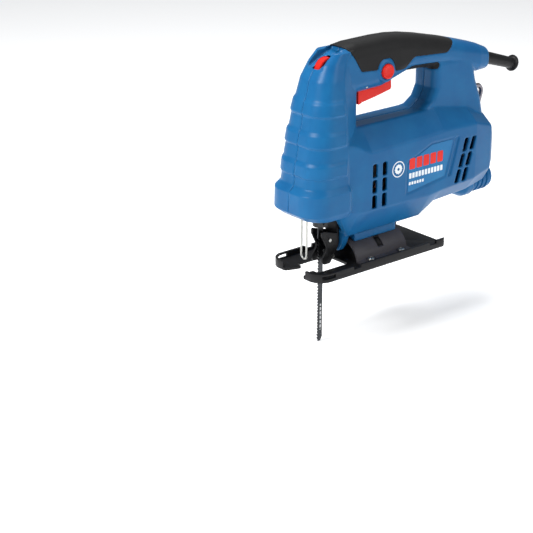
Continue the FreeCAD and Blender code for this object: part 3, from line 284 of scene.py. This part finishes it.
# ---------------------------------------------------------------- switch trigger
# A red nylon rocker under the handle. It is moulded hollow, with soft edges, and its front end
# drops into a thin tail that closes the slot beside the column.
def ease_edges(piece, width_mm, segments=3, angle_deg=30.0):
    """Rounds the sharp edges and shades the rest smooth."""
    apply_modifier(piece, "BEVEL", width=width_mm * MM, segments=segments, limit_method="ANGLE",
                   angle_limit=math.radians(angle_deg), harden_normals=False)
    bpy.ops.object.shade_smooth_by_angle(angle=math.radians(angle_deg))


def eased_copy(node, radius_mm, segments=2):
    """The CAD form of a node with its flat faces joined up and its edges rounded."""
    piece = copy_of(node)
    edit_all()
    bpy.ops.mesh.dissolve_limited(angle_limit=math.radians(1.0))
    bpy.ops.object.mode_set(mode="OBJECT")
    ease_edges(piece, radius_mm, segments, 35.0)
    return piece


red_nylon = moulded("red_moulded_nylon", "#CC1E15", "#DE2A20", (0.28, 0.40), 0.5, 0.008)
trigger = eased_copy("trigger", 1.0, 4)
finish_piece(trigger, red_nylon, "trigger", "red_plastic", "trigger")


# ---------------------------------------------------------------- lock-on button
# A round red nylon push button in a collar on the left of the handle. It has a shallow dish in
# its face, a rounded rim, and a flange inside that keeps it in the shell.
def leave_facing_out():
    """Turns all faces outwards and leaves edit mode."""
    bpy.ops.mesh.select_all(action="SELECT")
    bpy.ops.mesh.normals_make_consistent(inside=False)
    bpy.ops.object.mode_set(mode="OBJECT")


def turned(name, steps_mm, sides=64):
    """Draws a disc up through (height, radius) steps into a closed piece on the Z axis."""
    bpy.ops.object.select_all(action="DESELECT")
    height, radius = steps_mm[0]
    bpy.ops.mesh.primitive_circle_add(vertices=sides, radius=radius * MM, fill_type="NGON",
                                      location=(0, 0, 0))
    piece = bpy.context.object
    piece.name = name
    edit_all()
    bpy.ops.transform.translate(value=(0, 0, height * MM))
    for next_height, next_radius in steps_mm[1:]:
        rise = (0, 0, (next_height - height) * MM)
        bpy.ops.mesh.extrude_region_move(TRANSFORM_OT_translate={"value": rise})
        ratio = next_radius / radius
        bpy.ops.transform.resize(value=(ratio, ratio, 1),
                                 center_override=(0, 0, next_height * MM))
        height, radius = next_height, next_radius
    leave_facing_out()
    return piece


def stand(piece, foot, axis):
    """Fixes a turned piece with its foot at a point in metres and its Z axis along axis."""
    piece.rotation_euler = Vector(axis).to_track_quat("Z", "Y").to_euler()
    piece.location = foot
    show_only(piece)
    bpy.ops.object.transform_apply(location=True, rotation=True, scale=True)
    bpy.ops.object.shade_smooth_by_angle(angle=math.radians(32))
    return piece


button_low, button_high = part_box("lock_button")
button_middle = (button_low + button_high) / 2
button = turned("lock_button_finished", [(0, 8.0), (1.2, 8.0), (1.3, 6.7), (6.9, 6.7),
                                         (7.5, 6.45), (7.85, 5.9), (7.9, 5.3), (7.6, 4.5),
                                         (7.5, 2.5), (7.5, 0.4)], 96)
stand(button, (button_middle.x, button_high.y, button_middle.z), (0, -1, 0))
finish_piece(button, red_nylon, "lock_button", "red_plastic", "lock_button")

# ---------------------------------------------------------------- speed dial
# A knurled red thumbwheel, half sunk in the hollow on top of the nose. It is moulded in one
# with its ribs.
DIAL_RIB_DEG = 7.5
DIAL_GROOVE_MM = 0.6
DIAL_RIM_M = 0.011
dial_low, dial_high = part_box("speed_dial")
dial_middle = (dial_low + dial_high) / 2
dial_radius = (dial_high.x - dial_low.x) / 2 / MM - 0.1
dial = turned("speed_dial_finished", [(0, 8.0), (0, dial_radius - 0.9), (0.7, dial_radius),
                                      (7.3, dial_radius), (8.0, dial_radius - 0.9), (8.0, 8.5),
                                      (7.5, 8.2), (7.5, 0.6)], 96)
bpy.ops.object.mode_set(mode="EDIT")
bpy.ops.mesh.select_all(action="DESELECT")
bpy.ops.object.mode_set(mode="OBJECT")
for face in dial.data.polygons:
    turn = math.degrees(math.atan2(face.center.y, face.center.x)) % DIAL_RIB_DEG
    on_rim = abs(face.normal.z) < 0.1 and face.center.to_2d().length > DIAL_RIM_M
    face.select = on_rim and turn < DIAL_RIB_DEG / 2
bpy.ops.object.mode_set(mode="EDIT")
bpy.ops.mesh.inset(thickness=0.12 * MM)
bpy.ops.transform.shrink_fatten(value=-DIAL_GROOVE_MM * MM)
bpy.ops.object.mode_set(mode="OBJECT")
stand(dial, (dial_middle.x, dial_low.y, dial_middle.z), (0, 1, 0))
finish_piece(dial, red_nylon, "speed_dial", "red_plastic", "speed_dial")

# ---------------------------------------------------------------- cord bush
# A soft PVC sleeve that keeps the cord from kinking. It narrows a little from the handle to its
# rounded collar, and its inner end is held in the shells.
soft_pvc = moulded("black_soft_pvc", "#101011", "#19191A", (0.34, 0.44), 0.7, 0.008)
cord_entry = [m for m in frame["record"]["mounts"] if m["name"] == "cord_entry"][0]
cord_axis = Vector(cord_entry["axis"])
bush = turned("cord_bush_finished", [(-61, 5.6), (-48.2, 5.6), (-47.6, 6.0), (-40, 5.9),
                                     (-8.0, 5.45), (-4.0, 5.5), (-3.4, 6.2), (-2.8, 7.5),
                                     (-1.9, 8.0), (-0.9, 7.8), (-0.2, 6.9), (0, 6.0),
                                     (-0.1, 4.4), (-0.8, 3.85), (-40, 3.8)], 64)
stand(bush, Vector(cord_entry["pos_m"]), cord_axis)
finish_piece(bush, soft_pvc, "housing", "black_rubber", "cord_bush")

# ---------------------------------------------------------------- dust port
# The nozzle for a hose, moulded in the body's blue, with four barbs that grip the hose.
port_low, port_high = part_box("dust_port")
port_height = (port_low.z + port_high.z) / 2
BARB_COUNT, BARB_START_MM, BARB_PITCH_MM = 4, 9.5, 6.0
port_steps = [(0, 11.9), (0.3, 12.3)]
for barb in range(BARB_COUNT):
    start = BARB_START_MM + barb * BARB_PITCH_MM
    port_steps += [(start, 12.3), (start + 0.1, 13.0), (start + 0.6, 13.5), (start + 2.4, 13.5),
                   (start + 3.1, 13.0), (start + 3.3, 12.3)]
port_steps += [(34.4, 12.3), (35.0, 11.8), (35.0, 11.0), (34.5, 10.5), (2.0, 10.5), (2.0, 0.5)]
port = turned("dust_port_finished", port_steps, 72)
stand(port, (port_low.x, 0, port_height), (1, 0, 0))
finish_piece(port, blue_abs, "housing", "blue_port", "dust_port")


# ---------------------------------------------------------------- side labels
# A printed film in the recess of each side. The print is generic: rows of red and pale blocks,
# and a ringed saw disc printed on the shell in front of the film.
PRINT_MM = 0.1
CORNER_SHARE = 0.16
RING_SIDES = 72
TOOTH_REACH = 1.16


def lay_on_side(piece, x_mm, z_mm, side, face_y):
    """Stands a flat print upright against a side face; the same way up on both sides."""
    piece.rotation_euler = (math.radians(90), 0, 0 if side < 0 else math.radians(180))
    piece.location = (x_mm * MM, face_y, z_mm * MM)
    show_only(piece)
    bpy.ops.object.transform_apply(location=True, rotation=True, scale=True)


def print_row(name, width_mm, height_mm, count, gap_mm):
    """A row of ink blocks with rounded corners, with its middle at the origin."""
    block_mm = (width_mm + gap_mm) / count - gap_mm
    bpy.ops.object.select_all(action="DESELECT")
    bpy.ops.mesh.primitive_plane_add(size=1.0, location=((block_mm - width_mm) / 2 * MM, 0, 0))
    row = bpy.context.object
    row.name = name
    row.scale = (block_mm * MM, height_mm * MM, 1)
    bpy.ops.object.transform_apply(location=True, rotation=True, scale=True)
    edit_all()
    bpy.ops.mesh.bevel(offset=min(block_mm, height_mm) * CORNER_SHARE * MM, segments=4,
                       affect="VERTICES")
    bpy.ops.mesh.extrude_region_move(TRANSFORM_OT_translate={"value": (0, 0, PRINT_MM * MM)})
    leave_facing_out()
    apply_modifier(row, "ARRAY", count=count, use_relative_offset=False,
                   use_constant_offset=True,
                   constant_offset_displace=((block_mm + gap_mm) * MM, 0, 0))
    return row


def paint(node, material):
    """Gives a whole CAD node one material."""
    for slot in frame["nodes"][node].material_slots:
        slot.material = material


def print_ring(name, outer_mm, inner_mm, teeth=0):
    """A flat ring, toothed like a saw disc if teeth are given."""
    bpy.ops.object.select_all(action="DESELECT")
    bpy.ops.mesh.primitive_circle_add(vertices=RING_SIDES, radius=outer_mm * MM,
                                      fill_type="NGON", location=(0, 0, 0))
    ring = bpy.context.object
    ring.name = name
    edit_all()
    bpy.ops.mesh.inset(thickness=(outer_mm - inner_mm) * MM)
    bpy.ops.mesh.delete(type="FACE")
    bpy.ops.object.mode_set(mode="OBJECT")
    if teeth:
        for vertex in ring.data.vertices:
            if vertex.index < RING_SIDES and vertex.index % (RING_SIDES // teeth) == 0:
                vertex.co *= TOOTH_REACH
    return ring


EMBLEM_X_MM, EMBLEM_Z_MM = 18.0, 87.6
EMBLEM_START_Y = 0.040
label_film = moulded("blue_printed_film", "#1C689E", "#2375A9", (0.22, 0.28), 1.6, 0.003)
red_ink = moulded("red_screen_ink", "#D8261C", "#E23226", (0.34, 0.42), 0.3, 0.002)
white_ink = moulded("white_screen_ink", "#DCE3E8", "#EDF1F4", (0.36, 0.44), 0.3, 0.002)
for side, node in ((-1, "label_left"), (1, "label_right")):
    low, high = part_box(node)
    face_y = low.y if side < 0 else high.y
    paint(node, label_film)
    tag = node.replace("label", "print")
    rows = [(print_row(tag + "_red", 43.0, 10.4, 5, 1.7), (53.5, 89.4), red_ink),
            (print_row(tag + "_pale", 43.0, 5.2, 11, 1.1), (53.5, 78.0), white_ink),
            (print_row(tag + "_thin", 19.0, 2.8, 6, 1.0), (41.5, 70.6), white_ink)]
    for row, (x_mm, z_mm), ink in rows:
        lay_on_side(row, x_mm, z_mm, side, face_y)
        finish_piece(row, ink, "housing", "label")
    for part, outer_mm, inner_mm, teeth in (("_ring", 7.6, 6.7, 0), ("_disc", 4.3, 1.4, 12)):
        emblem = print_ring(tag + part, outer_mm, inner_mm, teeth)
        lay_on_side(emblem, EMBLEM_X_MM, EMBLEM_Z_MM, side, side * EMBLEM_START_Y)
        apply_modifier(emblem, "SHRINKWRAP", target=shells[side], wrap_method="PROJECT",
                       use_project_x=False, use_project_y=True,
                       use_negative_direction=True, use_positive_direction=True)
        apply_modifier(emblem, "SOLIDIFY", thickness=2 * PRINT_MM * MM, offset=0.0)
        finish_piece(emblem, white_ink, "housing", "label")


# ---------------------------------------------------------------- sole, saddle and roller fork
# Pressed from steel sheet, so every edge is a small radius. The sole and the fork are painted
# satin black, and the saddle satin grey.
black_paint = moulded("satin_black_paint", "#121213", "#1D1D1F", (0.34, 0.50), 1.4, 0.012)
grey_paint = moulded("satin_grey_paint", "#3C3B3F", "#4D4B50", (0.36, 0.50), 1.2, 0.012)
sole = eased_copy("sole_plate", 0.45)
finish_piece(sole, black_paint, "sole", "black_steel", "sole_plate")
saddle = eased_copy("tilt_saddle", 0.4)
finish_piece(saddle, grey_paint, "sole", "grey_steel", "tilt_saddle")
fork = eased_copy("roller_fork", 0.35)
finish_piece(fork, black_paint, "housing", "black_steel", "roller_fork")

# ---------------------------------------------------------------- bolts that hold the saddle
# Four zinc-plated pan-head bolts, cold headed, with a round socket.
zinc = moulded("bright_zinc_plate", "#9FA09C", "#C2C2BD", (0.24, 0.40), 0.8, 0.004,
               metallic=1.0)
HEAD_MM = 3.3
bolt_low, bolt_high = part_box("saddle_bolts")
bolt_pattern = turned("saddle_bolt_1", [(0.5, 1.9), (5.0, 1.9), (5.02, HEAD_MM), (6.1, HEAD_MM),
                                        (6.8, 2.9), (7.15, 2.2), (7.2, 1.6), (7.0, 1.45),
                                        (5.6, 1.4), (5.6, 0.3)], 32)
bolts = [bolt_pattern]
for number in (2, 3, 4):
    bolt = bolt_pattern.copy()
    bolt.data = bolt_pattern.data.copy()
    bolt.name = "saddle_bolt_%d" % number
    bpy.context.collection.objects.link(bolt)
    bolts.append(bolt)
corners = [(x, y) for x in (bolt_low.x + HEAD_MM * MM, bolt_high.x - HEAD_MM * MM)
           for y in (bolt_low.y + HEAD_MM * MM, bolt_high.y - HEAD_MM * MM)]
for bolt, (x, y) in zip(bolts, corners):
    stand(bolt, (x, y, 0), (0, 0, 1))
    finish_piece(bolt, zinc, "sole", "bright_steel")
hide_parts("saddle_bolts")

# ---------------------------------------------------------------- guide roller and blade clamp
# The roller is hardened and ground, with a groove for the back of the blade. The clamp is a
# machined steel sleeve, blackened, with two grub screws.
hardened = moulded("ground_hardened_steel", "#6C6D6E", "#8E8F90", (0.22, 0.36), 0.5, 0.003,
                   metallic=1.0)
roller_low, roller_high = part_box("guide_roller")
roller_middle = (roller_low + roller_high) / 2
roller = turned("guide_roller_finished", [(0, 3.0), (0, 6.0), (0.5, 6.5), (2.2, 6.5),
                                          (2.5, 5.5), (4.5, 5.5), (4.8, 6.5), (6.5, 6.5),
                                          (7.0, 6.0), (7.0, 3.0), (6.6, 2.8), (6.6, 0.3)], 64)
stand(roller, (roller_middle.x, roller_low.y, roller_middle.z), (0, 1, 0))
finish_piece(roller, hardened, "guide_roller", "gear_steel", "guide_roller")

blackened = moulded("blackened_steel", "#2C2D2E", "#454647", (0.28, 0.42), 0.6, 0.004,
                    metallic=1.0)
clamp_low, clamp_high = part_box("blade_clamp")
clamp_middle = (clamp_low + clamp_high) / 2
clamp = turned("blade_clamp_finished", [(0, 5.4), (0.2, 6.4), (0.8, 6.95), (6.4, 6.95),
                                        (6.7, 6.6), (7.5, 6.6), (7.8, 6.95), (13.2, 6.95),
                                        (13.8, 6.4), (14.0, 5.6), (14.0, 4.6)], 64)
stand(clamp, (clamp_middle.x, clamp_middle.y, clamp_low.z), (0, 0, 1))
finish_piece(clamp, blackened, "plunger", "grey_steel", "blade_clamp")

# ---------------------------------------------------------------- saw blade
# High-speed steel strip, ground along its length and blued dark, with teeth milled and bent
# alternately to the left and right. A row of pale marks is printed on its lower half.
MARK_X, MARK_HALF_WIDTH = -0.0477, 0.0008
MARK_Z, MARK_HALF_LENGTH = -0.0500, 0.0130
MARK_PITCH, MARK_GAP = 0.0022, 0.0007
TOOTH_SET_MM = 0.22
TOOTH_TOP_Z = 0.028
blade_steel, blade_shader, blade_place = new_material("blued_high_speed_steel")
lengthwise = add_node(blade_steel, "Mapping", {"Scale": (1.0, 1.0, 0.02)},
                      {"Vector": (blade_place, "Object")})
grinding = add_node(blade_steel, "TexNoise", {"Scale": 4000.0, "Detail": 3.0},
                    {"Vector": (lengthwise, "Vector")})
blued = add_node(blade_steel, "ValToRGB", {}, {"Fac": (grinding, "Fac")})
blued.color_ramp.elements[0].color = linear("#2B2C2E")
blued.color_ramp.elements[1].color = linear("#55575A")
place_split = add_node(blade_steel, "SeparateXYZ", {}, {"Vector": (blade_place, "Object")})
in_width = add_node(blade_steel, "Math",
                    {"operation": "COMPARE", 1: MARK_X, 2: MARK_HALF_WIDTH},
                    {0: (place_split, "X")})
in_length = add_node(blade_steel, "Math",
                     {"operation": "COMPARE", 1: MARK_Z, 2: MARK_HALF_LENGTH},
                     {0: (place_split, "Z")})
beat = add_node(blade_steel, "Math", {"operation": "PINGPONG", 1: MARK_PITCH},
                {0: (place_split, "Z")})
mark = add_node(blade_steel, "Math", {"operation": "GREATER_THAN", 1: MARK_GAP},
                {0: (beat, "Value")})
in_box = add_node(blade_steel, "Math", {"operation": "MULTIPLY"},
                  {0: (in_width, "Value"), 1: (in_length, "Value")})
printed = add_node(blade_steel, "Math", {"operation": "MULTIPLY"},
                   {0: (in_box, "Value"), 1: (mark, "Value")})
blade_tone = add_node(blade_steel, "Mix", {"data_type": "RGBA"},
                      {0: (printed, "Value"), 6: (blued, "Color")})
blade_tone.inputs[7].default_value = linear("#C9CBCC")
blade_gloss = add_node(blade_steel, "MapRange", {"To Min": 0.28, "To Max": 0.46},
                       {"Value": (grinding, "Fac")})
blade_metal = add_node(blade_steel, "Math", {"operation": "SUBTRACT", 0: 1.0},
                       {1: (printed, "Value")})
blade_relief = add_node(blade_steel, "Bump", {"Distance": 0.003 * MM},
                        {"Height": (grinding, "Fac")})
feed(blade_steel, blade_shader, Base_Color=(blade_tone, "Result"),
     Roughness=(blade_gloss, "Result"), Metallic=(blade_metal, "Value"),
     Normal=(blade_relief, "Normal"))

blade = copy_of("saw_blade")
blade_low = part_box("saw_blade")[0]
tooth_line = blade_low.x + 0.1 * MM
at_tips = [v for v in blade.data.vertices if v.co.x < tooth_line]
tips = sorted({round(v.co.z, 6) for v in at_tips if v.co.z < TOOTH_TOP_Z})
for vertex in at_tips:
    height = round(vertex.co.z, 6)
    if height in tips:
        vertex.co.y += (TOOTH_SET_MM if tips.index(height) % 2 else -TOOTH_SET_MM) * MM
show_only(blade)
bpy.ops.object.shade_smooth_by_angle(angle=math.radians(20))
finish_piece(blade, blade_steel, "plunger", "blade_steel", "saw_blade")

# ---------------------------------------------------------------- what shows through vents and gaps
# The drive is seen only in slivers, so these pieces keep their engineering form and take their
# own finishes.
key_steel = moulded("phosphated_key_steel", "#77747A", "#96929A", (0.30, 0.42), 0.9, 0.004,
                    metallic=1.0)
cast_metal = moulded("die_cast_aluminium", "#8B8C8E", "#A6A7A8", (0.42, 0.60), 0.8, 0.02,
                     metallic=1.0)
bronze = moulded("sintered_bronze", "#8A6637", "#A57E49", (0.38, 0.52), 0.35, 0.01,
                 metallic=1.0)
enamel_wire = moulded("enamelled_copper_wire", "#7E3A18", "#A5552A", (0.25, 0.40), 0.6, 0.08,
                      metallic=0.6)
bare_copper = moulded("turned_copper", "#A8613B", "#C4784C", (0.22, 0.36), 0.4, 0.004,
                      metallic=1.0)
electrical_sheet = moulded("stacked_electrical_sheet", "#3D3E41", "#56575B", (0.40, 0.55), 0.5,
                           0.02, metallic=0.8)
brass = moulded("stamped_brass", "#A5813F", "#C09A52", (0.26, 0.40), 0.6, 0.004, metallic=1.0)
carbon = moulded("pressed_carbon", "#17171A", "#232327", (0.55, 0.70), 0.3, 0.01)
black_nylon = moulded("black_glass_filled_nylon", "#141416", "#202023", (0.42, 0.56), 0.5, 0.01)
yellow_case = moulded("yellow_capacitor_case", "#C79A1E", "#D9AE33", (0.30, 0.42), 0.6, 0.005)
finishes = {
    zinc: ["housing_screws", "gear_axle", "brush_springs", "dial_axle", "trigger_pin",
           "trigger_spring", "cord_clamp_screws", "guard_wire", "fork_pins", "bevel_screw",
           "bevel_nut", "button_spring"],
    hardened: ["front_bearing", "rear_bearing", "armature_shaft", "drive_wheel", "plunger"],
    blackened: ["clamp_screws"],
    key_steel: ["hex_key"],
    cast_metal: ["gear_case"],
    bronze: ["plunger_bush_upper", "plunger_bush_lower"],
    enamel_wire: ["field_coils", "armature_windings"],
    bare_copper: ["commutator"],
    electrical_sheet: ["stator_core", "armature_core"],
    brass: ["brush_holders"],
    carbon: ["carbon_brushes"],
    black_nylon: ["switch_module", "speed_module", "cord_clamp", "dust_duct", "fan"],
    yellow_case: ["suppressor"],
}
for finish, nodes in finishes.items():
    for node in nodes:
        paint(node, finish)
